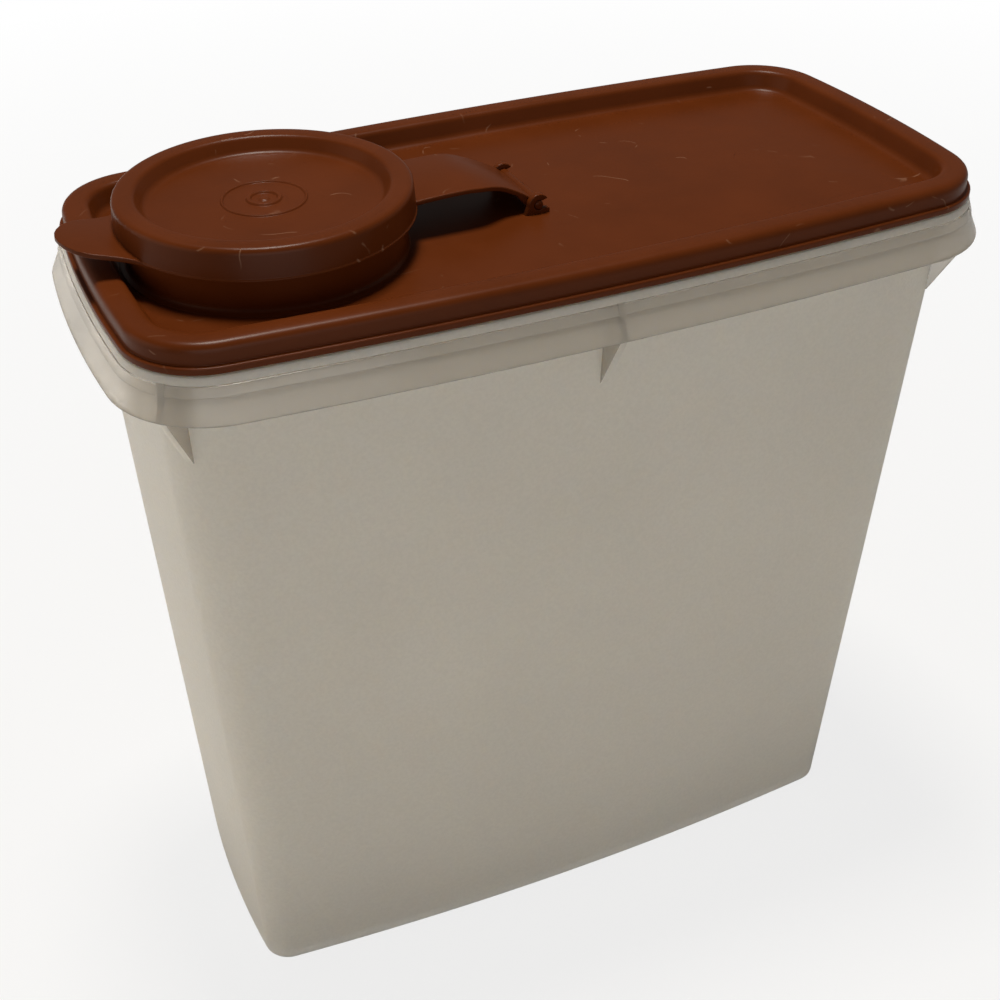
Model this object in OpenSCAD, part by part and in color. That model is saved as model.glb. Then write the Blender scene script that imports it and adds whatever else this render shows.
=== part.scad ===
// Tall, narrow cereal container: a tapered tub with an overhanging skirt,
// a press-on lid with a round spout, and a flip cap on a strap that is hinged
// to the lid by a snap-in pin. The spout is towards -X. Z = 0 is the base.

/* [Lid] */
// Length of the lid over its flange, at the middle of the ends
lid_len = 240; // [200:1:280]
// Width of the lid over its flange, at the middle of the sides
lid_width = 116.8; // [100:0.4:140]
// Radius of the flange's corners
lid_corner_r = 21.8; // [16:0.2:28]
// How far the long sides bow outwards
lid_side_bow = 3.4; // [0.5:0.1:5]
// How far the short ends bow outwards
lid_end_bow = 1.7; // [0.5:0.1:3]
// Thickness of the lid's walls and panel
lid_wall = 1.6; // [1.2:0.1:2.2]
// Height of the raised bead above the flange's underside
bead_height = 7.3; // [6.8:0.1:10]
// Width of the raised bead across its top and its outer fillet
bead_width = 7.5; // [7:0.1:9]
// Height of the flange's outer edge
flange_height = 1.9; // [1:0.1:2.5]
// Depth of the panel below the top of the bead
panel_depth = 5.6; // [3:0.1:6]
// Length of the sealing wall below the panel's underside
seal_drop = 2.6; // [1:0.1:8]

/* [Container] */
// Height of the shoulder that the lid's flange sits over
shoulder_height = 226; // [160:1:300]
// Length of the base, at the middle of the ends
base_len = 209.2; // [180:0.4:215]
// Width of the base, at the middle of the sides
base_width = 84.4; // [76:0.4:100]
// Radius of the container's corners at the base
base_corner_r = 8.2; // [5:0.2:16]
// How far the long sides bow outwards at the base
base_side_bow = 4.2; // [0.5:0.1:6]
// How far the short ends bow outwards at the base
base_end_bow = 2.1; // [0.5:0.1:4]
// Radius of the edge round the base
foot_r = 2.2; // [1:0.1:3]
// Thickness of the container's walls
tub_wall = 1.8; // [1.4:0.1:2.4]
// Thickness of the container's floor
tub_floor = 2.2; // [1.5:0.1:3.5]
// Radius of the container's corners at the shoulder
wall_corner_r = 17.2; // [12:0.2:22]

/* [Skirt] */
// Height of the skirt below the shoulder
skirt_height = 10.8; // [8:0.2:16]
// How far the skirt flares out past the flange
skirt_flare = 4.6; // [2:0.1:7]
// Thickness of the skirt
skirt_wall = 1.6; // [1.2:0.1:2.2]
// Corner radius of the skirt's lower edge
skirt_corner_r = 28.2; // [20:0.2:34]
// How far the gussets reach below the skirt
gusset_drop = 17; // [8:1:30]
// Thickness of the gussets
gusset_t = 2; // [1.2:0.1:3]

/* [Spout] */
// Distance of the spout's centre from the lid's end
spout_from_end = 48.8; // [46:0.2:52]
// Outer radius of the spout ring
spout_r = 36.1; // [30:0.1:38]
// Thickness of the spout ring
spout_wall = 1.7; // [1.2:0.1:2.2]
// Height of the spout ring above the panel
spout_height = 15.8; // [13:0.1:20]

/* [Cap] */
// Thickness of the cap
cap_wall = 1.5; // [1.2:0.1:2]
// Gap between the spout ring's side and the cap's skirt at its lower edge
cap_fit = 0.8; // [0.7:0.05:1.2]
// Height of the cap from its skirt's lower edge to its top
cap_height = 8.1; // [7.2:0.1:8.8]
// Width of the cap's flat rim
cap_rim = 5.5; // [5:0.1:8]
// Depth of the recess in the cap's top
recess_depth = 4.1; // [2:0.1:5]
// Radius of the larger ring on the recess floor
big_ring_r = 10.7; // [7:0.1:16]
// Radius of the smaller ring on the recess floor
small_ring_r = 4; // [2:0.1:6]
// Half width of the lift tab where it leaves the cap
tab_root = 14.3; // [12:0.1:18]
// Radius of the lift tab's round end
tab_r = 11.1; // [8:0.1:12]
// How far the lift tab stands out from the cap
tab_reach = 14.6; // [10:0.1:14.8]
// How far the lift tab rises to its tip
tab_rise = 3; // [1:0.1:4]
// Thickness of the lift tab and the strap
strap_t = 1.3; // [1:0.1:2]

/* [Hinge] */
// Distance from the spout's centre to the hinge pin
hinge_reach = 71.2; // [66:0.2:76]
// Height of the pin's centre above the panel
pin_rise = 3; // [2.6:0.1:4]
// Radius of the hinge pin
pin_r = 1.3; // [1:0.05:1.5]
// Radial clearance of the pin in its hooks
pin_clear = 0.08; // [0.04:0.01:0.1]
// Radius of the barrel at the end of the strap
barrel_r = 1.7; // [1.6:0.05:2]
// Half width of the strap
strap_half = 13; // [8:0.1:15]
// Height of the strap's crest above the pin
strap_rise = 8.5; // [7.5:0.1:10]
// Distance of the strap's crest from the pin
strap_crest = 21; // [17:0.2:24]
// Thickness of the hooks round the pin
hook_wall = 1.45; // [1.2:0.05:1.8]
// Width of each hook along the pin
hook_width = 1.9; // [1.4:0.1:3]

/* [Hidden] */

// Gap left between pieces that come apart
fit_gap = 0.3;
// Depth by which a rib or boss is rooted in the wall that carries it
root = 1;
// Segments of a quarter outline: half an end, a corner, half a side
end_segs = 3;
corner_segs = 8;
side_segs = 5;
ring_count = 4 * (end_segs + corner_segs + side_segs);
round_fn = 96;

// Heights, worked out from the base upwards
flange_z = shoulder_height + fit_gap;
bead_z = flange_z + bead_height;
panel_z = bead_z - panel_depth;
panel_under_z = panel_z - lid_wall;
rim_z = bead_z - lid_wall - fit_gap;
skirt_z = shoulder_height - skirt_height;
spout_z = panel_z + spout_height;
cap_top_z = spout_z + fit_gap + cap_wall;
cap_low_z = cap_top_z - cap_height;
recess_z = cap_top_z - recess_depth;

// Wall at the shoulder, set in from the flange so that the rim fits the bead
bead_outer = 1.2;
bead_fillet = 2.5;
rim_lip = 2.2;
wall_inset = bead_outer + lid_wall + fit_gap + rim_lip;
seal_inset = wall_inset + tub_wall + fit_gap;

// Plan positions of the spout and the hinge
spout_x = spout_from_end - lid_len / 2;
pin_x = spout_x + hinge_reach;
pin_z = panel_z + pin_rise;
spout_bore_r = spout_r - spout_wall;
cap_in_r = spout_r + cap_fit;
cap_r = cap_in_r + cap_wall;
cap_taper = 0.5;
recess_r = cap_r - cap_taper - cap_rim;
hook_in = strap_half + fit_gap;
hook_out = hook_in + hook_width;
hook_r = pin_r + pin_clear + hook_wall;

function mix(a, b, t) = a + (b - a) * t;
function arc_radius(half, bow) = (half * half + bow * bow) / (2 * bow);
function on_circle(c, r, a) = [c[0] + r * cos(a), c[1] + r * sin(a)];

// Centre of the arc that rounds the corner between the two bowed sides
function corner_centre(c_side, r_side, c_end, r_end) = let (
    d = c_end - c_side,
    gap = norm(d),
    along = (r_side * r_side - r_end * r_end + gap * gap) / (2 * gap),
    off = sqrt(max(r_side * r_side - along * along, 0)),
    u = d / gap
) c_side + u * along + [u[1], -u[0]] * off;

// Centre of the corner of an outline: length, width, side bow, end bow, radius
function corner_of(o) = let (
    r_side = arc_radius(o[0] - o[4], o[2]),
    r_end = arc_radius(o[1] - o[4], o[3])
) corner_centre([0, o[1] - r_side], r_side - o[4], [o[0] - r_end, 0], r_end - o[4]);

// A quarter of the bowed, round-cornered outline, from +X round to +Y
function quarter(o) = let (
    r = o[4],
    r_side = arc_radius(o[0] - r, o[2]),
    r_end = arc_radius(o[1] - r, o[3]),
    c_side = [0, o[1] - r_side],
    c_end = [o[0] - r_end, 0],
    c = corner_of(o),
    a_side = atan2(c[1] - c_side[1], c[0] - c_side[0]),
    a_end = atan2(c[1] - c_end[1], c[0] - c_end[0])
) concat(
    [for (i = [0:end_segs - 1]) on_circle(c_end, r_end, a_end * i / end_segs)],
    [for (i = [0:corner_segs - 1]) on_circle(c, r, mix(a_end, a_side, i / corner_segs))],
    [for (i = [0:side_segs]) on_circle(c_side, r_side, mix(a_side, 90, i / side_segs))]
);

// The whole outline at height z, counter-clockwise seen from above
function outline(o, z) = let (
    q = quarter(o),
    n = len(q)
) concat(
    [for (i = [0:n - 1]) [q[i][0], q[i][1], z]],
    [for (i = [n - 2:-1:0]) [-q[i][0], q[i][1], z]],
    [for (i = [1:n - 1]) [-q[i][0], -q[i][1], z]],
    [for (i = [n - 2:-1:1]) [q[i][0], -q[i][1], z]]
);

// Outline sizes of the flange, moved in by a distance
function lid_size(inset) = [
    lid_len / 2 - inset,
    lid_width / 2 - inset,
    lid_side_bow,
    lid_end_bow,
    max(lid_corner_r - inset, 3)
];

// Outline sizes of the skirt's face, at a distance outside the flange
function skirt_size(out) = [
    lid_len / 2 + out,
    lid_width / 2 + out,
    lid_side_bow,
    lid_end_bow,
    mix(lid_corner_r, skirt_corner_r, out / skirt_flare)
];

// Outline sizes of the container's tapered wall at height z, moved in
function wall_size(inset, z) = let (t = z / shoulder_height) [
    mix(base_len / 2, lid_len / 2 - wall_inset, t) - inset,
    mix(base_width / 2, lid_width / 2 - wall_inset, t) - inset,
    mix(base_side_bow, lid_side_bow, t),
    mix(base_end_bow, lid_end_bow, t),
    max(mix(base_corner_r, wall_corner_r, t) - inset, 2)
];

// A closed shell lofted through rings that share one number of points
module loft(rings) {
    count = len(rings);
    polyhedron(
        points = [for (ring = rings) each ring],
        faces = concat(
            [[for (i = [0:ring_count - 1]) i]],
            [for (k = [0:count - 2], i = [0:ring_count - 1]) let (
                a = k * ring_count + i,
                b = k * ring_count + (i + 1) % ring_count
            ) each [[a, a + ring_count, b], [b, a + ring_count, b + ring_count]]],
            [[for (i = [ring_count - 1:-1:0]) (count - 1) * ring_count + i]]
        ),
        convexity = 8
    );
}

// The container's shell: base, outer wall, skirt, rim, inner wall and floor
module tub_shell() {
    drop = skirt_flare / skirt_height;
    step_z = shoulder_height - 4.5;
    step = 0.35;
    under_z = shoulder_height - 2.6;
    slant = skirt_wall * sqrt(1 + drop * drop);
    loft([
        outline(wall_size(foot_r, 0), 0),
        outline(wall_size(foot_r * 0.3, foot_r * 0.3), foot_r * 0.3),
        outline(wall_size(0, foot_r), foot_r),
        outline(wall_size(0, under_z), under_z),
        outline(skirt_size((shoulder_height - under_z) * drop - slant), under_z),
        outline(skirt_size(skirt_flare - slant), skirt_z + 0.2),
        outline(skirt_size(skirt_flare - slant / 2), skirt_z),
        outline(skirt_size(skirt_flare), skirt_z + 0.6),
        outline(skirt_size((shoulder_height - step_z) * drop), step_z),
        outline(skirt_size((shoulder_height - step_z) * drop - step), step_z + 0.3),
        outline(skirt_size(-0.2), shoulder_height - 0.6),
        outline(skirt_size(-0.8), shoulder_height),
        outline(wall_size(0, shoulder_height), shoulder_height),
        outline(wall_size(0, rim_z - 2.2), rim_z - 2.2),
        outline(wall_size(-rim_lip, rim_z - 1.6), rim_z - 1.6),
        outline(wall_size(-rim_lip, rim_z - 0.6), rim_z - 0.6),
        outline(wall_size(0.5 - rim_lip, rim_z), rim_z),
        outline(wall_size(tub_wall - 0.4, rim_z), rim_z),
        outline(wall_size(tub_wall, rim_z - 0.5), rim_z - 0.5),
        outline(wall_size(tub_wall, tub_floor + 2), tub_floor + 2),
        outline(wall_size(tub_wall + 0.6, tub_floor + 0.6), tub_floor + 0.6),
        outline(wall_size(tub_wall + 2, tub_floor), tub_floor)
    ]);
}

// A triangular gusset from the wall out to the skirt; x is its distance out
module gusset(wall_x, taper, skirt_x) {
    tip_z = skirt_z - gusset_drop;
    top_z = shoulder_height - 2;
    rise = (top_z - tip_z) * taper;
    rotate([90, 0, 0])
        linear_extrude(height = gusset_t, center = true)
            polygon([
                [wall_x - root - rise, tip_z],
                [wall_x - rise + 0.2, tip_z],
                [skirt_x, skirt_z + 1],
                [wall_x + (skirt_x - wall_x) * 0.55, top_z],
                [wall_x - root, top_z]
            ]);
}

module container_tub() {
    slope_side = (lid_width - 2 * wall_inset - base_width) / 2 / shoulder_height;
    wall_side = lid_width / 2 - wall_inset;
    skirt_side = lid_width / 2 + skirt_flare - skirt_wall;
    // The corner gussets stand at 45 degrees, from the wall's corner centre
    centre = corner_of(wall_size(0, shoulder_height));
    diag = [sqrt(0.5), sqrt(0.5)];
    base_diag = base_corner_r + (corner_of(wall_size(0, 0)) - centre) * diag;
    slope_diag = (wall_corner_r - base_diag) / shoulder_height;
    skirt_shift = (corner_of(skirt_size(skirt_flare)) - centre) * diag;
    skirt_diag = skirt_corner_r - skirt_wall + skirt_shift;
    color([0.80, 0.78, 0.72, 0.75])
        union() {
            tub_shell();
            for (s = [-1, 1])
                rotate([0, 0, 90 * s])
                    gusset(wall_side, slope_side, skirt_side);
            for (sx = [-1, 1], sy = [-1, 1])
                translate([sx * centre[0], sy * centre[1], 0])
                    rotate([0, 0, atan2(sy, sx)])
                        gusset(wall_corner_r, slope_diag, skirt_diag);
        }
}

// The lid's shell: seal wall, channel over the rim, flange, bead and panel
module lid_shell() {
    wall_top = bead_z - lid_wall;
    draft = 0.6;
    seal_z = panel_under_z - seal_drop;
    inner = bead_outer + bead_width;
    ledge_z = flange_z + flange_height;
    loft([
        outline(lid_size(seal_inset + draft + lid_wall + 0.4), panel_under_z),
        outline(lid_size(seal_inset + draft + lid_wall), seal_z + 0.3),
        outline(lid_size(seal_inset + draft + 0.4), seal_z),
        outline(lid_size(seal_inset + draft), seal_z + 0.6),
        outline(lid_size(seal_inset), wall_top - 0.5),
        outline(lid_size(seal_inset - 0.5), wall_top),
        outline(lid_size(bead_outer + lid_wall + 0.6), wall_top),
        outline(lid_size(bead_outer + lid_wall), wall_top - 0.6),
        outline(lid_size(bead_outer + lid_wall), flange_z),
        outline(lid_size(0.3), flange_z),
        outline(lid_size(0), flange_z + 0.3),
        outline(lid_size(0), ledge_z - 0.5),
        outline(lid_size(0.4), ledge_z - 0.1),
        outline(lid_size(bead_outer - 0.15), ledge_z),
        outline(lid_size(bead_outer), bead_z - bead_fillet),
        outline(lid_size(bead_outer + bead_fillet * 0.29), bead_z - bead_fillet * 0.29),
        outline(lid_size(bead_outer + bead_fillet), bead_z),
        outline(lid_size(inner - 1.3), bead_z),
        outline(lid_size(inner - 0.4), bead_z - 0.4),
        outline(lid_size(inner), bead_z - 1.3),
        outline(lid_size(inner + 1.1), panel_z + 1.2),
        outline(lid_size(inner + 1.6), panel_z + 0.35),
        outline(lid_size(inner + 2.6), panel_z)
    ]);
}

// The upstanding ring that the cap closes, with a flared foot on the panel
module spout_ring() {
    foot = 1.2;
    translate([spout_x, 0, 0])
        rotate_extrude($fn = round_fn)
            polygon([
                [spout_bore_r, panel_under_z],
                [spout_r + foot, panel_under_z],
                [spout_r + foot, panel_z],
                [spout_r + foot * 0.3, panel_z + foot * 0.4],
                [spout_r, panel_z + foot],
                [spout_r, spout_z - 0.5],
                [spout_r - 0.4, spout_z],
                [spout_bore_r + 0.4, spout_z],
                [spout_bore_r, spout_z - 0.4]
            ]);
}

// One hook on the panel, open towards +X, that holds an end of the pin
module hook() {
    foot_x = hook_r + 0.4;
    mouth = pin_r * 0.72;
    rotate([90, 0, 0])
        linear_extrude(height = hook_width, center = true)
            difference() {
                union() {
                    translate([pin_x, pin_z])
                        circle(r = hook_r, $fn = 48);
                    translate([pin_x - foot_x, panel_z - root])
                        square([foot_x + hook_r, pin_rise + root - mouth]);
                }
                translate([pin_x, pin_z])
                    circle(r = pin_r + pin_clear, $fn = 48);
                translate([pin_x, pin_z - mouth])
                    square([2 * hook_r, 2 * mouth]);
            }
}

module lid() {
    color([0.33, 0.15, 0.09])
        difference() {
            union() {
                lid_shell();
                spout_ring();
                for (s = [-1, 1])
                    translate([0, s * (hook_in + hook_out) / 2, 0])
                        hook();
            }
            translate([spout_x, 0, panel_under_z - root])
                cylinder(r = spout_bore_r, h = lid_wall + spout_height, $fn = round_fn);
        }
}

// The cap's turned body: skirt, channel over the ring, rim and recess
module cap_body() {
    plug_r = spout_bore_r - 0.9;
    lean = 1.6;
    floor_z = recess_z - cap_wall;
    rotate_extrude($fn = round_fn)
        polygon([
            [0, floor_z],
            [plug_r - lean, floor_z],
            [plug_r, spout_z + fit_gap],
            [cap_in_r - 0.45, spout_z + fit_gap],
            [cap_in_r - 0.25, spout_z - 0.6],
            [cap_in_r, cap_low_z],
            [cap_r - 0.2, cap_low_z],
            [cap_r, cap_low_z + 0.4],
            [cap_r - cap_taper, cap_top_z - 1.1],
            [cap_r - cap_taper - 0.32, cap_top_z - 0.32],
            [cap_r - cap_taper - 1.1, cap_top_z],
            [recess_r + 0.8, cap_top_z],
            [recess_r + 0.2, cap_top_z - 0.25],
            [recess_r, cap_top_z - 0.9],
            [recess_r - lean + 0.2, recess_z + 0.7],
            [recess_r - lean - 0.6, recess_z],
            [0, recess_z]
        ]);
    for (r = [big_ring_r, small_ring_r])
        rotate_extrude($fn = round_fn)
            translate([r - 0.25, recess_z - 0.2])
                square([0.5, 0.4]);
}

// The lift tab, tilted up to its round tip
module lift_tab() {
    tab_top = cap_low_z + strap_t - 0.1;
    tip_x = -cap_r - tab_reach;
    slope = tab_rise / tab_reach;
    back = 6;
    difference() {
        intersection() {
            rotate([90, 0, 0])
                linear_extrude(height = 4 * tab_root, center = true)
                    polygon([
                        [-cap_r + back, tab_top - strap_t],
                        [-cap_r, tab_top - strap_t],
                        [tip_x - 1, tab_top - strap_t + slope * (tab_reach + 1)],
                        [tip_x - 1, tab_top + slope * (tab_reach + 1)],
                        [-cap_r, tab_top],
                        [-cap_r + back, tab_top]
                    ]);
            translate([0, 0, cap_low_z - root])
                linear_extrude(height = cap_height + 2 * root)
                    union() {
                        translate([tip_x + tab_r, 0])
                            circle(r = tab_r, $fn = round_fn);
                        polygon([
                            [-cap_r + back, -tab_root],
                            [-cap_r + back, tab_root],
                            [-cap_r + 2.2, tab_root],
                            [tip_x + tab_r * 0.75, tab_r * 0.98],
                            [tip_x + tab_r * 0.75, -tab_r * 0.98],
                            [-cap_r + 2.2, -tab_root]
                        ]);
                    }
        }
        translate([0, 0, cap_low_z - 2 * root])
            cylinder(r = cap_r - cap_wall / 2, h = 2 * cap_height, $fn = round_fn);
    }
}

// Height and slope of the strap's arched top, at a distance x from the pin
strap_end = [-1, barrel_r - 0.35];
strap_start = [-(hinge_reach - cap_r) - 5, cap_low_z + strap_t - 0.1 - pin_z];
function strap_leg(x) = x < -strap_crest ? strap_start : strap_end;
function strap_top(x) = let (e = strap_leg(x))
    strap_rise - (strap_rise - e[1]) * pow((x + strap_crest) / (e[0] + strap_crest), 2);
function strap_slope(x) = let (e = strap_leg(x))
    -2 * (strap_rise - e[1]) * (x + strap_crest) / pow(e[0] + strap_crest, 2);
function strap_under(x) = let (s = strap_slope(x), n = sqrt(1 + s * s))
    [x + strap_t * s / n, strap_top(x) - strap_t / n];

// The arched strap with the barrel, the pin and the cheeks that carry it
module strap() {
    steps = 16;
    xs = [for (i = [0:steps]) mix(strap_start[0], strap_end[0], i / steps)];
    cheek_x = 5.5;
    cheek_w = 2;
    translate([hinge_reach, 0, pin_z]) {
        difference() {
            rotate([90, 0, 0])
                linear_extrude(height = 2 * strap_half, center = true)
                    polygon(concat(
                        [for (x = xs) [x, strap_top(x)]],
                        [for (i = [steps:-1:0]) strap_under(xs[i])]
                    ));
            translate([-hinge_reach, 0, cap_low_z - pin_z - root])
                cylinder(r = cap_r - cap_wall / 2, h = cap_height, $fn = round_fn);
        }
        rotate([90, 0, 0])
            cylinder(r = barrel_r, h = 2 * strap_half, center = true, $fn = 48);
        rotate([90, 0, 0])
            cylinder(r = pin_r, h = 2 * hook_out - 0.4, center = true, $fn = 48);
        for (s = [-1, 1])
            translate([0, s * (strap_half - cheek_w / 2), 0])
                rotate([90, 0, 0])
                    linear_extrude(height = cheek_w, center = true)
                        polygon([
                            [0, -barrel_r],
                            [0, barrel_r],
                            [-cheek_x, strap_top(-cheek_x) - strap_t * 0.6],
                            [-cheek_x, -barrel_r]
                        ]);
    }
}

module flip_cap() {
    color([0.35, 0.16, 0.10])
        translate([spout_x, 0, 0])
            union() {
                cap_body();
                lift_tab();
                strap();
            }
}

container_tub();
lid();
flip_cap();
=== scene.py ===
"""Cereal container with a flip cap: the detailed pieces, their plastics and the studio.

Laid out as a Blender add-on and run as a script. Every size below is written in
millimetres and placed in metres; the spout is towards -X and the base is at Z = 0.
"""
import math
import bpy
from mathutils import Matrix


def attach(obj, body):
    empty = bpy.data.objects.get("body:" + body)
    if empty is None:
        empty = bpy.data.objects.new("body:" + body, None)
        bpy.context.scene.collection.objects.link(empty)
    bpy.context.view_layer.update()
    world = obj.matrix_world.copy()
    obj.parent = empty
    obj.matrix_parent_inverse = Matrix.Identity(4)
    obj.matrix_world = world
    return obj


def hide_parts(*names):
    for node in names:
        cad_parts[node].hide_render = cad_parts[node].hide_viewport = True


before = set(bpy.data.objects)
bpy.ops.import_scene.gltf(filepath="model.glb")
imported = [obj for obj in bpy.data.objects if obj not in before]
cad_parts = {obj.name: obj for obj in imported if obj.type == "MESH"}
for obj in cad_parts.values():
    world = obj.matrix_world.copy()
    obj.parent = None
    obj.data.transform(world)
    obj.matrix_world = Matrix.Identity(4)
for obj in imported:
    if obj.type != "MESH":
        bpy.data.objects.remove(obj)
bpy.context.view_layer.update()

from types import SimpleNamespace

import bmesh
import bpy
from bpy.props import FloatProperty, FloatVectorProperty, PointerProperty
from bpy.types import Operator, Panel, PropertyGroup
from mathutils import Matrix, Vector

bl_info = {
    "name": "Cereal container with flip cap",
    "version": (1, 0, 0),
    "blender": (4, 5, 0),
    "location": "3D View > Sidebar > Keeper",
    "description": "Models a tall food container, its press-on lid and its hinged flip cap",
    "category": "Object",
}

MM = 0.001


# ---------------------------------------------------------------- sizes and colours


def length(name, description, mm):
    """A length property whose default is given in millimetres."""
    return FloatProperty(
        name=name, description=description, default=mm * MM, min=0.0,
        subtype="DISTANCE", unit="LENGTH", precision=5,
    )


def linear(hexcode):
    """An sRGB hex colour as the linear RGB that the shaders work in."""
    parts = [int(hexcode[i:i + 2], 16) / 255 for i in (1, 3, 5)]
    return [c / 12.92 if c <= 0.04045 else ((c + 0.055) / 1.055) ** 2.4 for c in parts]


def colour(name, description, hexcode):
    """A colour property whose default is given as an sRGB hex code."""
    return FloatVectorProperty(
        name=name, description=description, default=linear(hexcode),
        min=0.0, max=1.0, size=3, subtype="COLOR",
    )


class KeeperLid(PropertyGroup):
    """Sizes of the press-on lid."""

    length: length("Length", "Length over the flange, mid-end to mid-end", 240)
    width: length("Width", "Width over the flange, mid-side to mid-side", 116.8)
    corner: length("Corner", "Radius of the flange's corners", 21.8)
    side_bow: length("Side bow", "How far the long sides bow outwards", 3.4)
    end_bow: length("End bow", "How far the short ends bow outwards", 1.7)
    flange_z: length("Flange height", "Underside of the flange above the base", 226.3)
    bead_height: length("Bead", "Top of the bead above the flange's underside", 7.3)
    panel_depth: length("Panel depth", "Panel's edge below the top of the bead", 6.0)
    dome: length("Dome", "How far the panel's middle stands above its edge", 1.0)
    wall: length("Wall", "Thickness of the lid's walls", 1.6)
    seal_drop: length("Seal", "Length of the seal wall below the panel", 2.6)


class KeeperTub(PropertyGroup):
    """Sizes of the container."""

    shoulder: length("Shoulder", "Height of the shoulder under the flange", 226)
    base_length: length("Base length", "Length of the base at mid-end", 209.2)
    base_width: length("Base width", "Width of the base at mid-side", 84.4)
    base_corner: length("Base corner", "Corner radius at the base", 8.2)
    base_side_bow: length("Base side bow", "Bow of the long sides at the base", 4.2)
    base_end_bow: length("Base end bow", "Bow of the short ends at the base", 2.1)
    top_corner: length("Top corner", "Corner radius of the wall at the shoulder", 17.2)
    top_inset: length("Top inset", "Wall's set-in from the flange at the shoulder", 5.3)
    wall: length("Wall", "Thickness of the walls", 1.8)
    floor: length("Floor", "Thickness of the floor", 2.2)
    skirt_height: length("Skirt", "Height of the skirt below the shoulder", 11.2)
    skirt_flare: length("Flare", "How far the skirt flares past the flange", 4.6)
    skirt_wall: length("Skirt wall", "Thickness of the skirt", 1.6)
    skirt_corner: length("Skirt corner", "Corner radius at the skirt's lower edge", 28.2)
    gusset_drop: length("Gusset", "Reach of the gussets below the skirt", 17)
    gusset: length("Gusset wall", "Thickness of the gussets", 2)


class KeeperSpout(PropertyGroup):
    """Sizes of the spout ring and of the hooks that hold the pin."""

    x: length("From the end", "Distance of the spout's centre from the lid's end", 48.8)
    radius: length("Radius", "Outer radius of the ring", 36.1)
    wall: length("Wall", "Thickness of the ring", 1.7)
    top: length("Top", "Height of the ring's top above the base", 243.8)
    snap: length("Snap bead", "How far the bead near the ring's top stands out", 0.4)
    hook_wall: length("Hook wall", "Thickness of the hooks round the pin", 1.65)
    hook_in: length("Hook from middle", "Inner face of each hook from the middle", 10.6)
    hook_width: length("Hook width", "Width of each hook along the pin", 1.9)


class KeeperCap(PropertyGroup):
    """Sizes of the flip cap, its tab, its strap and its pin."""

    radius: length("Radius", "Outer radius of the skirt's lower edge", 38.4)
    wall: length("Wall", "Thickness of the cap", 1.5)
    low: length("Lower edge", "Skirt's lower edge above the base", 237.5)
    top: length("Top", "Cap's rim above the base", 245.6)
    rim: length("Rim", "Width of the flat rim", 5.5)
    recess: length("Recess", "Depth of the recess", 4.1)
    big_ring: length("Big ring", "Radius of the larger ring in the recess", 10.7)
    small_ring: length("Small ring", "Radius of the smaller ring in the recess", 4)
    tab_rise: length("Tab rise", "How far the tab rises to its tip", 3)
    strap: length("Strap", "Thickness of the strap and the tab", 1.3)
    strap_half: length("Strap half width", "Half the width of the strap", 13)
    strap_rise: length("Strap rise", "Strap's crest above the pin's centre", 8.5)
    strap_crest: length("Strap crest", "Strap's crest from the pin", 21)
    pin_z: length("Pin height", "Pin's centre above the base", 231)
    pin: length("Pin", "Radius of the pin", 1.3)
    barrel: length("Barrel", "Radius of the barrel at the strap's end", 1.7)


class KeeperFinish(PropertyGroup):
    """Colours of the plastics and of the studio."""

    tub: colour("Tub", "Unpigmented polypropylene, grained", "#F1ECE3")
    skirt: colour("Skirt", "The same where it is polished and clearer", "#D1CCC4")
    brown: colour("Lid and cap", "Brown polyethylene", "#55260A")
    worn: colour("Worn brown", "Brown polyethylene where it is rubbed", "#7E5A45")
    floor: colour("Floor", "Studio floor", "#D4D4D2")


def in_mm(group):
    """A group's lengths as plain numbers of millimetres."""
    names = [p.identifier for p in group.bl_rna.properties if p.type == "FLOAT"]
    return SimpleNamespace(**{n: getattr(group, n) / MM for n in names})


def all_sizes():
    """The lid's, the tub's, the spout's and the cap's sizes, in millimetres."""
    scene = bpy.context.scene
    groups = (scene.keeper_lid, scene.keeper_tub, scene.keeper_spout, scene.keeper_cap)
    lid, tub, spout, cap = (in_mm(g) for g in groups)
    spout.x = spout.x - lid.length / 2
    return lid, tub, spout, cap


# ---------------------------------------------------------------- outlines


END_STEPS, CORNER_STEPS, SIDE_STEPS = 6, 14, 12
TURN = 144


def on_circle(centre, radius, angle):
    return (centre[0] + radius * math.cos(angle), centre[1] + radius * math.sin(angle))


def outline(half_length, half_width, side_bow, end_bow, corner):
    """A rectangle with bowed sides and round corners, counter-clockwise from +X."""
    def bow_radius(half, bow):
        return (half * half + bow * bow) / (2 * bow)

    r_side = bow_radius(half_length - corner, side_bow)
    r_end = bow_radius(half_width - corner, end_bow)
    side, end = (0.0, half_width - r_side), (half_length - r_end, 0.0)
    across = math.dist(side, end)
    unit = ((end[0] - side[0]) / across, (end[1] - side[1]) / across)
    a, b = r_side - corner, r_end - corner
    along = (a * a - b * b + across * across) / (2 * across)
    off = math.sqrt(max(a * a - along * along, 0.0))
    centre = (side[0] + unit[0] * along + unit[1] * off, side[1] + unit[1] * along - unit[0] * off)
    a_side = math.atan2(centre[1] - side[1], centre[0] - side[0])
    a_end = math.atan2(centre[1] - end[1], centre[0] - end[0])
    quarter = [on_circle(end, r_end, a_end * i / END_STEPS) for i in range(END_STEPS)]
    quarter += [
        on_circle(centre, corner, a_end + (a_side - a_end) * i / CORNER_STEPS)
        for i in range(CORNER_STEPS)
    ]
    quarter += [
        on_circle(side, r_side, a_side + (math.pi / 2 - a_side) * i / SIDE_STEPS)
        for i in range(SIDE_STEPS + 1)
    ]
    whole = list(quarter)
    whole += [(-x, y) for x, y in reversed(quarter[:-1])]
    whole += [(-x, -y) for x, y in quarter[1:]]
    whole += [(x, -y) for x, y in reversed(quarter[1:-1])]
    return whole, centre


def mix(a, b, t):
    return a + (b - a) * t


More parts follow.
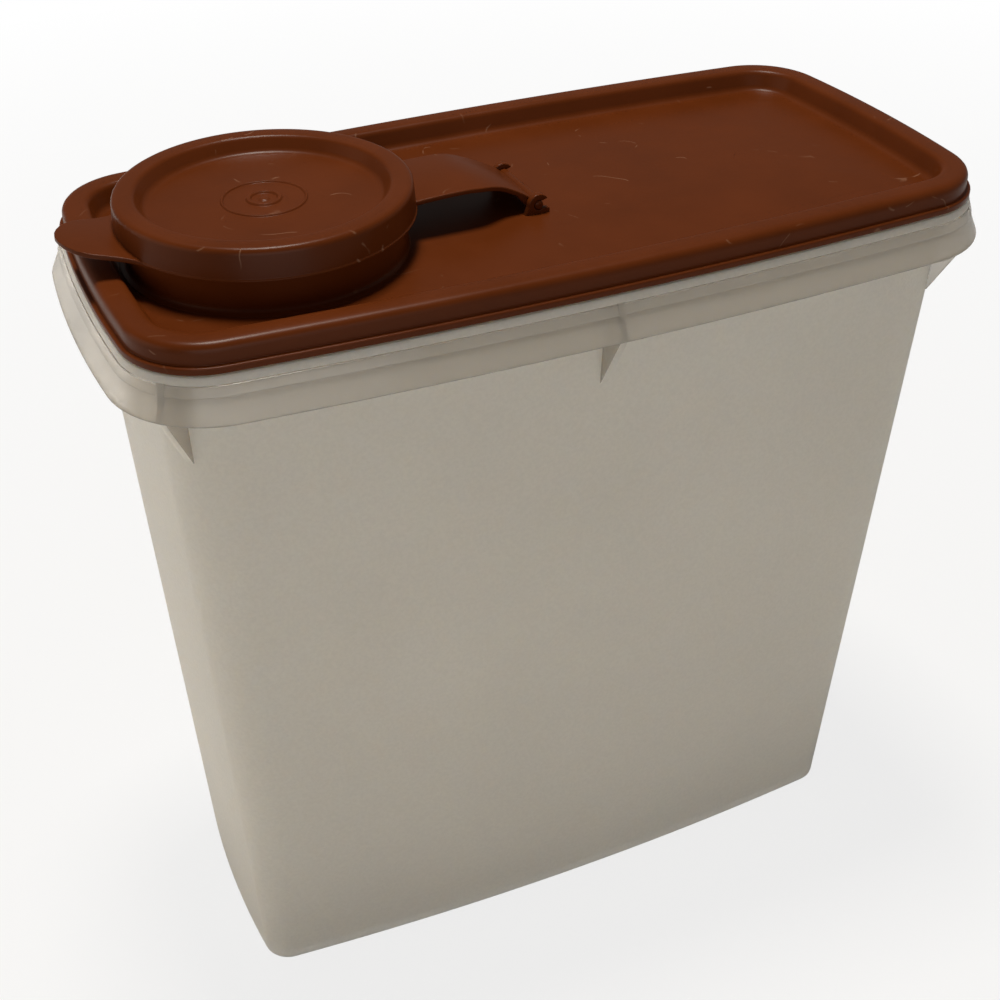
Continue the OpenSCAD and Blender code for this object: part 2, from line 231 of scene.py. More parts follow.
def lid_ring(lid, inset, z):
    """The lid's outline at a distance inside the flange."""
    points, _ = outline(
        lid.length / 2 - inset, lid.width / 2 - inset, lid.side_bow, lid.end_bow,
        max(lid.corner - inset, 3.0),
    )
    return [(x, y, z) for x, y in points]


def wall_size(lid, tub, inset, z):
    """The tapered wall's outline sizes at a height, moved in by a distance."""
    t = z / tub.shoulder
    return (
        mix(tub.base_length / 2, lid.length / 2 - tub.top_inset, t) - inset,
        mix(tub.base_width / 2, lid.width / 2 - tub.top_inset, t) - inset,
        mix(tub.base_side_bow, lid.side_bow, t),
        mix(tub.base_end_bow, lid.end_bow, t),
        max(mix(tub.base_corner, tub.top_corner, t) - inset, 2.0),
    )


def wall_ring(lid, tub, inset, z, lift=0.0):
    """The wall's outline at a height, drawn lift above it."""
    points, _ = outline(*wall_size(lid, tub, inset, z))
    return [(x, y, z + lift) for x, y in points]


def skirt_size(lid, tub, out):
    """The skirt's outline sizes at a distance outside the flange."""
    return (
        lid.length / 2 + out, lid.width / 2 + out, lid.side_bow, lid.end_bow,
        mix(lid.corner, tub.skirt_corner, out / tub.skirt_flare),
    )


def skirt_ring(lid, tub, out, z):
    points, _ = outline(*skirt_size(lid, tub, out))
    return [(x, y, z) for x, y in points]


def round_ring(centre_x, radius, z):
    """A level circle about an upright axis."""
    step = 2 * math.pi / TURN
    circle = [on_circle((centre_x, 0.0), radius, i * step) for i in range(TURN)]
    return [(x, y, z) for x, y in circle]


def softened(rings, steps=4, closed=False):
    """Rings with each marked edge rounded: a ring is given as (points, radius)."""
    done = []
    count = len(rings)
    for k, (ring, radius) in enumerate(rings):
        at_end = not closed and k in (0, count - 1)
        if at_end or radius <= 0:
            done.append([Vector(p) for p in ring])
            continue
        before, after = rings[k - 1][0], rings[(k + 1) % count][0]
        arcs = [[] for _ in range(steps + 1)]
        for p, q, r in zip(ring, before, after):
            p, q, r = Vector(p), Vector(q), Vector(r)
            to_q, to_r = q - p, r - p
            start = p + to_q * min(radius / max(to_q.length, 1e-9), 0.48)
            stop = p + to_r * min(radius / max(to_r.length, 1e-9), 0.48)
            for i in range(steps + 1):
                t = i / steps
                arcs[i].append(start * (1 - t) ** 2 + p * 2 * t * (1 - t) + stop * t ** 2)
        done.extend(arcs)
    return done


# ---------------------------------------------------------------- modelling by operator


def start_clean():
    """Object mode, with nothing selected."""
    if bpy.context.object and bpy.context.object.mode != "OBJECT":
        bpy.ops.object.mode_set(mode="OBJECT")
    bpy.ops.object.select_all(action="DESELECT")


def activate(obj):
    start_clean()
    obj.select_set(True)
    bpy.context.view_layer.objects.active = obj


def drawn_loop(name, points):
    """A circle added and set to a loop of points, left in edit mode and selected."""
    start_clean()
    bpy.ops.mesh.primitive_circle_add(vertices=len(points), radius=0.01)
    obj = bpy.context.object
    obj.name = obj.data.name = name
    bpy.ops.object.mode_set(mode="EDIT")
    bpy.ops.mesh.select_all(action="SELECT")
    mesh = bmesh.from_edit_mesh(obj.data)
    place = mesh.verts.layers.int.new("place")
    mesh.verts.ensure_lookup_table()
    for i, v in enumerate(mesh.verts):
        v[place] = i
        v.co = Vector(points[i]) * MM
    bmesh.update_edit_mesh(obj.data)
    return obj


def drawn_out(name, rings, closed=False):
    """A skin drawn out ring by ring from a circle, with its ends filled or joined."""
    obj = drawn_loop(name, rings[0])
    for ring in rings[1:] + ([rings[0]] if closed else []):
        bpy.ops.mesh.extrude_region()
        mesh = bmesh.from_edit_mesh(obj.data)
        place = mesh.verts.layers.int["place"]
        for v in mesh.verts:
            if v.select:
                v.co = Vector(ring[v[place]]) * MM
        bmesh.update_edit_mesh(obj.data)
    bpy.ops.mesh.select_all(action="SELECT")
    if closed:
        bpy.ops.mesh.remove_doubles(threshold=1e-7)
    else:
        bpy.ops.mesh.fill_holes(sides=0)
    bpy.ops.mesh.select_all(action="SELECT")
    bpy.ops.mesh.normals_make_consistent(inside=False)
    bpy.ops.object.mode_set(mode="OBJECT")
    return obj


def cut_plate(name, points, move):
    """A flat plate: a loop of points filled and extruded by a distance."""
    obj = drawn_loop(name, points)
    bpy.ops.mesh.edge_face_add()
    bpy.ops.mesh.extrude_region_move(TRANSFORM_OT_translate={"value": Vector(move) * MM})
    bpy.ops.mesh.select_all(action="SELECT")
    bpy.ops.mesh.normals_make_consistent(inside=False)
    bpy.ops.object.mode_set(mode="OBJECT")
    return obj


def apply_modifier(obj, kind, **settings):
    """A modifier added with its settings and applied."""
    activate(obj)
    made = obj.modifiers.new(kind.title(), kind)
    for key, value in settings.items():
        setattr(made, key, value)
    bpy.ops.object.modifier_apply(modifier=made.name)


def eased(obj, width, segments=3, angle=40):
    """Sharp edges broken by a small radius, as a mould leaves them."""
    apply_modifier(
        obj, "BEVEL", width=width * MM, segments=segments, limit_method="ANGLE",
        angle_limit=math.radians(angle), harden_normals=False,
    )


def combine(obj, others, operation):
    """Other meshes added to or cut from obj, and then removed."""
    for other in others:
        apply_modifier(obj, "BOOLEAN", operation=operation, object=other, solver="MANIFOLD")
        bpy.data.meshes.remove(other.data)


def joined(name, parts):
    """Loose parts of one piece, held in one mesh."""
    activate(parts[0])
    for part in parts[1:]:
        part.select_set(True)
    bpy.ops.object.join()
    obj = bpy.context.object
    obj.name = obj.data.name = name
    return obj


def finish_piece(obj, material, body, angle=32, replaces=()):
    """Smooth shading, material, body, slot and the CAD node it stands for."""
    activate(obj)
    bpy.ops.object.shade_smooth_by_angle(angle=math.radians(angle))
    if "place" in obj.data.attributes:
        obj.data.attributes.remove(obj.data.attributes["place"])
    obj.data.materials.clear()
    obj.data.materials.append(material)
    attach(obj, body)
    if replaces:
        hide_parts(*replaces)
    start_clean()
    return obj


# ---------------------------------------------------------------- materials


def add_node(material, kind, inputs=None, **settings):
    """One node with its settings; an input is a value or an output to link."""
    tree = material.node_tree
    node = tree.nodes.new(kind)
    for key, value in settings.items():
        setattr(node, key, value)
    for key, value in (inputs or {}).items():
        if isinstance(value, bpy.types.NodeSocket):
            tree.links.new(value, node.inputs[key])
        else:
            node.inputs[key].default_value = value
    return node


def blank_material(name):
    """A node material with nothing in it but its output."""
    material = bpy.data.materials.new(name)
    material.use_nodes = True
    material.node_tree.nodes.clear()
    return material, material.node_tree.nodes.new("ShaderNodeOutputMaterial")


def ramp(material, fac, *stops):
    """A colour ramp from (position, colour) stops."""
    node = add_node(material, "ShaderNodeValToRGB", {"Fac": fac})
    elements = node.color_ramp.elements
    while len(elements) < len(stops):
        elements.new(0.5)
    for element, (position, value) in zip(elements, stops):
        element.position = position
        element.color = (*value, 1.0) if len(value) == 3 else value
    return node.outputs["Color"]


def per_mm(size):
    """Texture scale whose features are about size millimetres across."""
    return 1 / (size * MM)


def natural_polypropylene():
    """Unpigmented polypropylene, injection moulded in a spark-eroded mould.

    It is milky: light soaks in, so shadows are soft and edges glow a little. The walls
    have the mould's fine matt grain; the skirt, from a polished part, is clearer.
    """
    name = "polypropylene_natural_moulded"
    if name in bpy.data.materials:
        return bpy.data.materials[name]
    material, output = blank_material(name)
    base = list(bpy.context.scene.keeper_finish.tub)
    where = add_node(material, "ShaderNodeTexCoord").outputs["Object"]
    # 1 on the faces that the mould's polished part forms, 0 on the grained ones
    polished = add_node(
        material, "ShaderNodeAttribute", attribute_name="polished",
    ).outputs["Fac"]
    # Flow of the melt: broad, faint clouds some 60 mm across
    cloud = add_node(material, "ShaderNodeTexNoise", {
        "Vector": where, "Scale": per_mm(60), "Detail": 3.0, "Roughness": 0.5,
    }).outputs["Fac"]
    tint = ramp(
        material, cloud,
        (0.3, [c * 0.99 for c in base]), (0.7, [min(c * 1.035, 1.0) for c in base]),
    )
    # Mould grain, drawn 1.1 mm across so that it shows; painted shade makes its pits a little
    # darker in the colour
    grain = add_node(material, "ShaderNodeTexNoise", {
        "Vector": where, "Scale": per_mm(1.1), "Detail": 2.0, "Roughness": 0.6,
    }).outputs["Fac"]
    pit_shade = ramp(material, grain, (0.35, (0.95, 0.95, 0.95)), (0.65, (1.0, 1.0, 1.0)))
    # The pits' painted shade multiplied into the wall's colour
    tint = add_node(material, "ShaderNodeMix", {
        "Factor": 1.0, 6: tint, 7: pit_shade,
    }, data_type="RGBA", blend_type="MULTIPLY").outputs[2]
    tint = add_node(material, "ShaderNodeMix", {
        "Factor": polished, 6: tint, 7: (*bpy.context.scene.keeper_finish.skirt, 1.0),
    }, data_type="RGBA").outputs[2]
    relief = add_node(material, "ShaderNodeMapRange", {
        "Value": polished, "To Min": 0.85, "To Max": 0.03,
    }).outputs["Result"]
    bump = add_node(material, "ShaderNodeBump", {
        "Height": grain, "Strength": relief, "Distance": 0.12 * MM,
    }).outputs["Normal"]
    gloss = add_node(material, "ShaderNodeMapRange", {
        "Value": polished, "To Min": 0.5, "To Max": 0.18,
    }).outputs["Result"]
    clear = add_node(material, "ShaderNodeMapRange", {
        "Value": polished, "To Min": 0.35, "To Max": 0.62,
    }).outputs["Result"]
    shader = add_node(material, "ShaderNodeBsdfPrincipled", {
        "Base Color": tint, "Roughness": gloss, "Normal": bump, "IOR": 1.49,
        "Subsurface Weight": 1.0, "Subsurface Radius": (1.0, 0.92, 0.78),
        "Subsurface Scale": 3 * MM, "Transmission Weight": clear,
    })
    material.node_tree.links.new(shader.outputs["BSDF"], output.inputs["Surface"])
    return material


def brown_polyethylene(name, wear):
    """Brown low-density polyethylene, injection moulded and much handled.

    It has a soft wax-like gloss; the few scuffs and scratches are paler than the plastic.
    """
    if name in bpy.data.materials:
        return bpy.data.materials[name]
    material, output = blank_material(name)
    finish = bpy.context.scene.keeper_finish
    base, worn = list(finish.brown), list(finish.worn)
    where = add_node(material, "ShaderNodeTexCoord").outputs["Object"]
    # Uneven pigment and handling haze, some 25 mm across
    cloud = add_node(material, "ShaderNodeTexNoise", {
        "Vector": where, "Scale": per_mm(25), "Detail": 4.0, "Roughness": 0.6,
    }).outputs["Fac"]
    tint = ramp(
        material, cloud,
        (0.3, [c * 0.92 for c in base]), (0.7, [min(c * 1.09, 1.0) for c in base]),
    )
    # Places that were rubbed, some 18 mm across
    rubbed = ramp(material, add_node(material, "ShaderNodeTexNoise", {
        "Vector": where, "Scale": per_mm(18), "Detail": 1.0,
    }).outputs["Fac"], (0.54, (0, 0, 0)), (0.62, (1, 1, 1)))
    # Scratches: short stretches of the noise's contours, some 0.3 mm wide and 5 mm long
    wander = add_node(material, "ShaderNodeTexNoise", {
        "Vector": where, "Scale": per_mm(14), "Detail": 0.5,
    }).outputs["Fac"]
    off = add_node(
        material, "ShaderNodeMath", {0: wander, 1: 0.5}, operation="SUBTRACT",
    ).outputs["Value"]
    off = add_node(material, "ShaderNodeMath", {0: off}, operation="ABSOLUTE").outputs["Value"]
    line = ramp(material, off, (0.003, (1, 1, 1)), (0.008, (0, 0, 0)))
    broken = ramp(material, add_node(material, "ShaderNodeTexNoise", {
        "Vector": where, "Scale": per_mm(4), "Detail": 0.0,
    }).outputs["Fac"], (0.56, (0, 0, 0)), (0.62, (1, 1, 1)))
    marks = add_node(
        material, "ShaderNodeMath", {0: line, 1: broken}, operation="MULTIPLY",
    ).outputs["Value"]
    marks = add_node(
        material, "ShaderNodeMath", {0: marks, 1: rubbed}, operation="MULTIPLY",
    ).outputs["Value"]
    shown = add_node(
        material, "ShaderNodeMath", {0: marks, 1: wear}, operation="MULTIPLY",
    ).outputs["Value"]
    colour_out = add_node(material, "ShaderNodeMix", {
        "Factor": shown, 6: tint, 7: (*worn, 1.0),
    }, data_type="RGBA").outputs[2]
    # Skin of the moulding: a fine orange peel some 2 mm across
    peel = add_node(material, "ShaderNodeTexNoise", {
        "Vector": where, "Scale": per_mm(2.2), "Detail": 2.0,
    }).outputs["Fac"]
    bump = add_node(material, "ShaderNodeBump", {
        "Height": peel, "Strength": 0.1, "Distance": 0.15 * MM,
    }).outputs["Normal"]
    bump = add_node(material, "ShaderNodeBump", {
        "Height": marks, "Strength": 0.3 * wear, "Distance": 0.1 * MM, "Normal": bump,
    }).outputs["Normal"]
    gloss = ramp(material, cloud, (0.3, (0.28,) * 3), (0.7, (0.38,) * 3))
    shader = add_node(material, "ShaderNodeBsdfPrincipled", {
        "Base Color": colour_out, "Roughness": gloss, "Normal": bump, "IOR": 1.51,
        "Specular IOR Level": 0.12,
    })
    material.node_tree.links.new(shader.outputs["BSDF"], output.inputs["Surface"])
    return material


# The two brown mouldings: each material's name, and how rubbed it is from 0 to 1
LID_PLASTIC = ("polyethylene_brown_lid", 0.6)
CAP_PLASTIC = ("polyethylene_brown_cap", 0.8)


# ---------------------------------------------------------------- the pieces


class KEEPER_OT_tub(Operator):
    """Model the container: base, tapered wall, skirt, shoulder, rim and gussets"""

    bl_idname = "keeper.make_tub"
    bl_label = "Container"

    def execute(self, context):
        lid, tub, _, _ = all_sizes()
        drop = tub.skirt_flare / tub.skirt_height
        slant = tub.skirt_wall * math.sqrt(1 + drop * drop)
        top = tub.shoulder
        low = top - tub.skirt_height
        under = top - 2.6
        rim = lid.flange_z + lid.bead_height - lid.wall - 0.3

        def skirt_at(z, inset=0.0):
            return skirt_ring(lid, tub, (top - z) * drop - inset, z)

        def wall_at(inset, z, lift=0.0):
            return wall_ring(lid, tub, inset, z, lift)

        rings = softened([
            # the base, raised a little inside its edge
            (wall_at(11.0, 0, 0.7), 0),
            (wall_at(9.0, 0, 0.7), 0.6),
            (wall_at(8.0, 0), 0.5),
            (wall_at(0, 0), 2.2),
            # the wall, up to the underside of the shoulder
            (wall_at(0, 60), 0),
            (wall_at(0, 120), 0),
            (wall_at(0, 180), 0),
            (wall_at(0, under), 1.2),
            # the skirt, down inside and up outside, with its proud band and its two lines
            (skirt_at(under, slant), 0.8),
            (skirt_at(low, slant), 0.6),
            (skirt_at(low), 0.8),
            (skirt_at(top - 4.95, 0.75), 0.06),
            (skirt_at(top - 4.75, 0.25), 0.2),
            (skirt_at(top - 2.35, 0.25), 0.06),
            (skirt_at(top - 2.15, 0.6), 0.06),
            (skirt_at(top - 1.95, 0.25), 0.06),
            (skirt_at(top - 0.1, 0.1), 0.4),
            # the shoulder, the rim that the lid grips, and the inside down to the floor
            (skirt_ring(lid, tub, -0.6, top), 0.3),
            (wall_at(0, top), 0.6),
            (wall_at(0, rim - 2.4), 0.5),
            (wall_at(-2.2, rim - 1.7), 0.3),
            (wall_at(-2.2, rim), 0.5),
            (wall_at(tub.wall, rim), 0.6),
            (wall_at(tub.wall, 120), 0),
            (wall_at(tub.wall, tub.floor), 3.0),
            (wall_at(tub.wall + 8, tub.floor), 0),
        ])
        shell = drawn_out("tub_shell", rings)
        webs = [self.web(lid, tub, k) for k in range(6)]
        combine(shell, webs, "UNION")
        self.mark_polished(shell, lid, tub)
        finish_piece(
            shell, natural_polypropylene(), "tub", 30, ("container_tub",),
        )
        return {"FINISHED"}

    def mark_polished(self, shell, lid, tub):
        """Note the faces of the skirt, the rim and the gussets, which stand out from the wall."""
        mark = shell.data.attributes.new("polished", "FLOAT", "FACE")
        for face, noted in zip(shell.data.polygons, mark.data):
            x, y, z = face.center / MM
            wall, _ = outline(*wall_size(lid, tub, -0.35, z))
            inside = all(
                (bx - ax) * (y - ay) >= (by - ay) * (x - ax)
                for (ax, ay), (bx, by) in zip(wall, wall[1:] + wall[:1])
            )
            # The shoulder, backed by the rim, and the gussets' feet stay milky
            milky = abs(z - tub.shoulder) < 2.2 or z < tub.shoulder - tub.skirt_height - 0.4
            noted.value = 0.0 if inside and z < tub.shoulder else 0.15 if milky else 1.0

    def web(self, lid, tub, number):
        """One gusset: a plate from the wall out to the skirt, rooted in both."""
        low = tub.shoulder - tub.skirt_height
        tip = low - tub.gusset_drop
        top = tub.shoulder - 1.7
        drop = tub.skirt_flare / tub.skirt_height
        _, at_top = outline(*wall_size(lid, tub, 0, tub.shoulder))
        _, at_base = outline(*wall_size(lid, tub, 0, 0))
        _, at_skirt = outline(*skirt_size(lid, tub, tub.skirt_flare))
        _, at_flange = outline(*skirt_size(lid, tub, 0))
        if number < 2:
            centre = (0.0, 0.0)
            sign = 1 if number else -1
            along = (0.0, float(sign))
            wall_top, wall_base = lid.width / 2 - tub.top_inset, tub.base_width / 2
            skirt_low, skirt_top = lid.width / 2 + tub.skirt_flare, lid.width / 2
        else:
            sx, sy = ((-1, -1), (-1, 1), (1, -1), (1, 1))[number - 2]
            centre = (sx * at_top[0], sy * at_top[1])
            along = (sx * math.sqrt(0.5), sy * math.sqrt(0.5))

            def off(point):
                return ((point[0] - at_top[0]) + (point[1] - at_top[1])) * math.sqrt(0.5)

            wall_top, wall_base = tub.top_corner, tub.base_corner + off(at_base)
            skirt_low = tub.skirt_corner + off(at_skirt)
            skirt_top = lid.corner + off(at_flange)

        def wall_out(z):
            return mix(wall_base, wall_top, z / tub.shoulder)

        def skirt_out(z):
            return mix(skirt_top, skirt_low, (tub.shoulder - z) * drop / tub.skirt_flare)

        profile = [
            (wall_out(tip) - 1.0, tip),
            (wall_out(tip) + 0.25, tip),
            (skirt_out(low + 0.5) - 1.1, low - 0.1),
            (skirt_out(low + 0.5) - 0.5, low + 0.5),
            (skirt_out(tub.shoulder - 5.0) - 0.95, tub.shoulder - 5.0),
            (skirt_out(tub.shoulder - 4.8) - 0.18, tub.shoulder - 4.8),
            (skirt_out(tub.shoulder - 1.9) - 0.18, tub.shoulder - 1.9),
            (skirt_out(top) - 1.2, tub.shoulder - 1.7),
            (wall_out(top) - 1.0, top),
        ]
        side = (-along[1] * tub.gusset / 2, along[0] * tub.gusset / 2)
        points = [
            (centre[0] + along[0] * d - side[0], centre[1] + along[1] * d - side[1], z)
            for d, z in profile
        ]
        return cut_plate("web", points, (side[0] * 2, side[1] * 2, 0))


class KEEPER_OT_lid(Operator):
    """Model the lid: seal wall, channel, flange, bead and domed panel, with its hole"""

    bl_idname = "keeper.make_lid"
    bl_label = "Lid"

    def execute(self, context):
        lid, tub, spout, _ = all_sizes()
        top = lid.flange_z + lid.bead_height
        edge = top - lid.panel_depth
        under_bead = top - lid.wall
        seal = tub.top_inset + tub.wall + 0.3

        def panel(inset, sink=0.0):
            """The panel rises from 11 mm inside the flange to 52 mm, near its middle."""
            far = (52.0 - inset) / 41.0
            return lid_ring(lid, inset, edge + lid.dome * (1 - far * far) - sink)

        def ring(inset, z):
            return lid_ring(lid, inset, z)

        inward = (14.0, 20.0, 28.0, 36.0, 44.0, 52.0)
        rings = softened(
            [(panel(i, lid.wall), 0) for i in reversed(inward)] + [
                # the seal wall, and the channel over the container's rim
                (ring(seal + 2.6, edge - lid.wall - 0.1), 0.8),
                (ring(seal + 2.2, 223.8), 0.5),
                (ring(seal + 0.7, 223.8), 0.6),
                (ring(seal, under_bead), 1.0),
                (ring(1.2 + lid.wall, under_bead), 1.3),
                (ring(1.2 + lid.wall, lid.flange_z), 0.3),
                # the flange, the bead and the slope down to the panel
                (ring(0, lid.flange_z), 0.45),
                (ring(0, lid.flange_z + 1.95), 0.6),
                (ring(1.25, lid.flange_z + 1.85), 0.3),
                (ring(1.2, top), 2.7),
                (ring(8.3, top), 1.5),
                (ring(10.2, edge + 0.1), 1.8),
            ] + [(panel(i), 0) for i in inward],
            steps=5,
        )
        shell = drawn_out("lid_shell", rings)
        start_clean()
        bpy.ops.mesh.primitive_cylinder_add(
            vertices=TURN, radius=(spout.radius - spout.wall + 0.6) * MM, depth=20 * MM,
            location=(spout.x * MM, 0, edge * MM),
        )
        combine(shell, [bpy.context.object], "DIFFERENCE")
        finish_piece(
            shell, brown_polyethylene(*LID_PLASTIC), "lid", 30, ("lid",),
        )
        return {"FINISHED"}


class KEEPER_OT_spout(Operator):
    """Model the spout's upstanding ring, with its foot and its snap bead"""

    bl_idname = "keeper.make_spout"
    bl_label = "Spout ring"

    def execute(self, context):
        lid, _, spout, _ = all_sizes()
        foot = lid.flange_z + lid.bead_height - lid.panel_depth
        bore = spout.radius - spout.wall
        profile = [
            (bore, foot - lid.wall + 0.1, 0.3),
            (spout.radius + 1.9, foot - 0.3, 0),
            (spout.radius + 1.9, foot + 0.5, 0.1),
            (spout.radius, foot + 0.95, 1.4),
            (spout.radius, spout.top - 2.6, 0.4),
            (spout.radius + spout.snap, spout.top - 1.9, 0.4),
            (spout.radius + spout.snap, spout.top - 1.2, 0.4),
            (spout.radius - 0.2, spout.top, 0.5),
            (bore, spout.top, 0.5),
        ]
        rings = softened(
            [(round_ring(spout.x, r, z), soft) for r, z, soft in profile], closed=True,
        )
        ring = drawn_out("spout_ring", rings, closed=True)
        finish_piece(ring, brown_polyethylene(*LID_PLASTIC), "lid")
        return {"FINISHED"}


class KEEPER_OT_hooks(Operator):
    """Model the two hooks on the panel that the pin snaps into"""

    bl_idname = "keeper.make_hooks"
    bl_label = "Pin hooks"

    def execute(self, context):
        _, _, spout, cap = all_sizes()
        bore = cap.pin + 0.08
        outer = bore + spout.hook_wall
        foot = 228.0 - 0.8 - cap.pin_z
        arc = [math.radians(a) for a in range(32, 196, 12)]
        profile = [(outer * math.cos(a), outer * math.sin(a)) for a in arc]
        profile += [(-outer - 1.5, foot), (outer + 0.3, foot), (outer + 0.1, -1.05)]
        arc = [math.radians(a) for a in range(-46, -320, -14)]
        profile += [(bore * math.cos(a), bore * math.sin(a)) for a in arc]
        hooks = []
        for side in (-1, 1):
            start = -spout.hook_in - spout.hook_width if side < 0 else spout.hook_in
            points = [(x, start, cap.pin_z + z) for x, z in profile]
            hook = cut_plate("hook", points, (0, spout.hook_width, 0))
            eased(hook, 0.28)
            hooks.append(hook)
        finish_piece(
            joined("pin_hooks", hooks), brown_polyethylene(*LID_PLASTIC), "lid",
        )
        return {"FINISHED"}


class KEEPER_OT_cap(Operator):
    """Model the round cap: skirt, rim, recess and the rings on its floor"""

    bl_idname = "keeper.make_cap"
    bl_label = "Cap"

    def execute(self, context):
        _, _, spout, cap = all_sizes()
        floor = cap.top - cap.recess
        plug = spout.radius - spout.wall - 0.9
        channel = spout.top + 0.3
        inner = cap.radius - cap.wall
        recess = cap.radius - 0.5 - cap.rim

        def ridge(radius, half, high):
            return [
                (radius + half, floor, 0.12), (radius + half * 0.5, floor + high, 0.12),
                (radius - half * 0.5, floor + high, 0.12), (radius - half, floor, 0.12),
            ]

        profile = [
            (1.0, floor - cap.wall, 0), (plug - 1.6, floor - cap.wall, 1.0),
            (plug, channel, 0.7), (inner - 0.45, channel, 0.4),
            (inner - 0.3, channel - 1.2, 0.3), (inner, cap.low, 0.2),
            (cap.radius + 0.25, cap.low, 0.12), (cap.radius + 0.25, cap.low + 0.35, 0.12),
            (cap.radius - 0.02, cap.low + 0.6, 0.15), (cap.radius - 0.5, cap.top, 1.7),
            (recess, cap.top, 1.0), (recess - 2.2, floor, 1.3),
            *ridge(cap.big_ring, 0.45, 0.36), *ridge(cap.small_ring, 0.75, 0.5),
            (1.6, floor - 0.15, 0.3), (1.0, floor + 0.25, 0.2), (0.35, floor + 0.3, 0),
        ]
        rings = softened([(round_ring(spout.x, r, z), soft) for r, z, soft in profile])
        shell = drawn_out("cap_shell", rings)
        finish_piece(
            shell, brown_polyethylene(*CAP_PLASTIC), "cap", 30, ("flip_cap",),
        )
        return {"FINISHED"}


class KEEPER_OT_tab(Operator):
    """Model the lift tab, tilted up to its round tip"""

    bl_idname = "keeper.make_tab"
    bl_label = "Lift tab"

    def execute(self, context):
        _, _, spout, cap = all_sizes()
        root_r = cap.radius - cap.wall * 0.45
        # One edge of the tab from its root to its tip, for a cap centred 71.2 mm left of the pin
        side = [
            (-105.2, 17.4), (-106.4, 15.7), (-107.8, 14.35), (-109.4, 13.35), (-111.2, 12.55),
            (-113.4, 11.85), (-115.6, 11.25), (-117.4, 10.65), (-119.0, 9.8), (-120.5, 8.55),
            (-121.8, 6.85), (-122.9, 4.9), (-123.7, 2.7),
        ]
        shift = spout.x + 71.2
        outer = [(x + shift, y) for x, y in side] + [(-124.1 + shift, 0.0)]
        outer += [(x + shift, -y) for x, y in reversed(side)]
        root = []
        for i in range(13):
            a = math.pi + math.radians(mix(27.5, -27.5, i / 12))
            root.append((spout.x + root_r * math.cos(a), root_r * math.sin(a)))
        edge = spout.x - cap.radius
        slope = cap.tab_rise / 14.6

        def height(x):
            return cap.low + cap.strap - 0.1 + slope * max(edge - x, -3.0)

        points = [(x, y, height(x)) for x, y in outer + root]
        tab = cut_plate("lift_tab", points, (0, 0, -cap.strap))
        eased(tab, 0.42, 4)
        finish_piece(tab, brown_polyethylene(*CAP_PLASTIC), "cap")
        return {"FINISHED"}


class KEEPER_OT_strap(Operator):
    """Model the arched strap with its barrel, its cheeks and the pin"""

    bl_idname = "keeper.make_strap"
    bl_label = "Strap and pin"

    def execute(self, context):
        _, _, spout, cap = all_sizes()
        # The strap's top, from the pin's centre: inside the cap's skirt, and over the barrel
        low_end = (-37.8, cap.low + cap.strap - 0.1 - cap.pin_z)
        high_end = (-1.0, cap.barrel - 0.35)

        def top(x):
            leg = low_end if x < -cap.strap_crest else high_end
            bend = (cap.strap_rise - leg[1]) / (leg[0] + cap.strap_crest) ** 2
            return (
                cap.strap_rise - bend * (x + cap.strap_crest) ** 2,
                -2 * bend * (x + cap.strap_crest),
            )

        half, thick, soft = cap.strap_half, cap.strap, 0.38
        end_half = spout.hook_in - 0.3

        def narrowed(x):
            """The strap's width at x, drawn in to pass between the hooks."""
            t = min(max((x + 18.0) / 10.5, 0.0), 1.0)
            return mix(1.0, end_half / half, t * t * (3 - 2 * t))

        section = []
        for cy, cz, a0 in (
            (half - soft, -soft, 90), (half - soft, soft - thick, 0),
            (soft - half, soft - thick, -90), (soft - half, -soft, -180),
        ):
            for k in range(4):
                a = math.radians(a0 - 30 * k)
                section.append((cy + soft * math.cos(a), cz + soft * math.sin(a)))
        root_r = cap.radius - cap.wall * 0.45
        rings = []
        stations = 26
        for i in range(stations + 1):
            ring = []
            for y, depth in section:
                start = spout.x + math.sqrt(root_r ** 2 - y * y)
                x = mix(start, -1.0, i / stations)
                z, slope = top(x)
                n = math.sqrt(1 + slope * slope)
                ring.append((x - depth * slope / n, y * narrowed(x), cap.pin_z + z + depth / n))
            rings.append([Vector(p) for p in ring])
        strap = drawn_out("strap", rings)

        def turned(name, profile):
            """A bar along the pin's axis, from (radius, place, softening) stations."""
            loops = []
            for r, y, s in profile:
                circle = [on_circle((0.0, cap.pin_z), r, 2 * math.pi * k / 40) for k in range(40)]
                loops.append(([(x, y, z) for x, z in circle], s))
            return drawn_out(name, softened(loops, steps=3))

        b, p, end = cap.barrel, cap.pin, spout.hook_in + spout.hook_width
        barrel = turned("barrel", [
            (b - 0.5, -end_half, 0), (b, -end_half, 0.3), (b, end_half, 0.3),
            (b - 0.5, end_half, 0),
        ])
        cheeks = []
        for side in (-1, 1):
            start = -end_half if side < 0 else end_half - 2.0
            outline_xz = [
                (0.0, -b), (0.6, -b + 0.5), (0.6, b - 0.6), (-1.0, top(-1.0)[0] - 0.5),
                (-3.2, top(-3.2)[0] - 0.7), (-5.6, top(-5.6)[0] - 0.8),
                (-5.2, top(-5.2)[0] - 1.7), (-2.6, -b + 1.1), (-1.4, -b + 0.2),
            ]
            cheek = cut_plate(
                "cheek", [(x, start, cap.pin_z + z) for x, z in outline_xz], (0, 2.0, 0),
            )
            eased(cheek, 0.3)
            cheeks.append(cheek)
        brown = brown_polyethylene(*CAP_PLASTIC)
        finish_piece(joined("strap", [strap, barrel, *cheeks]), brown, "cap")
        pin = turned("hinge_pin", [
            (p - 0.7, -end - 0.25, 0), (p, -end, 0.5), (p, end, 0.5), (p - 0.7, end + 0.25, 0),
        ])
        finish_piece(pin, brown, "cap")
        return {"FINISHED"}


# ---------------------------------------------------------------- the studio


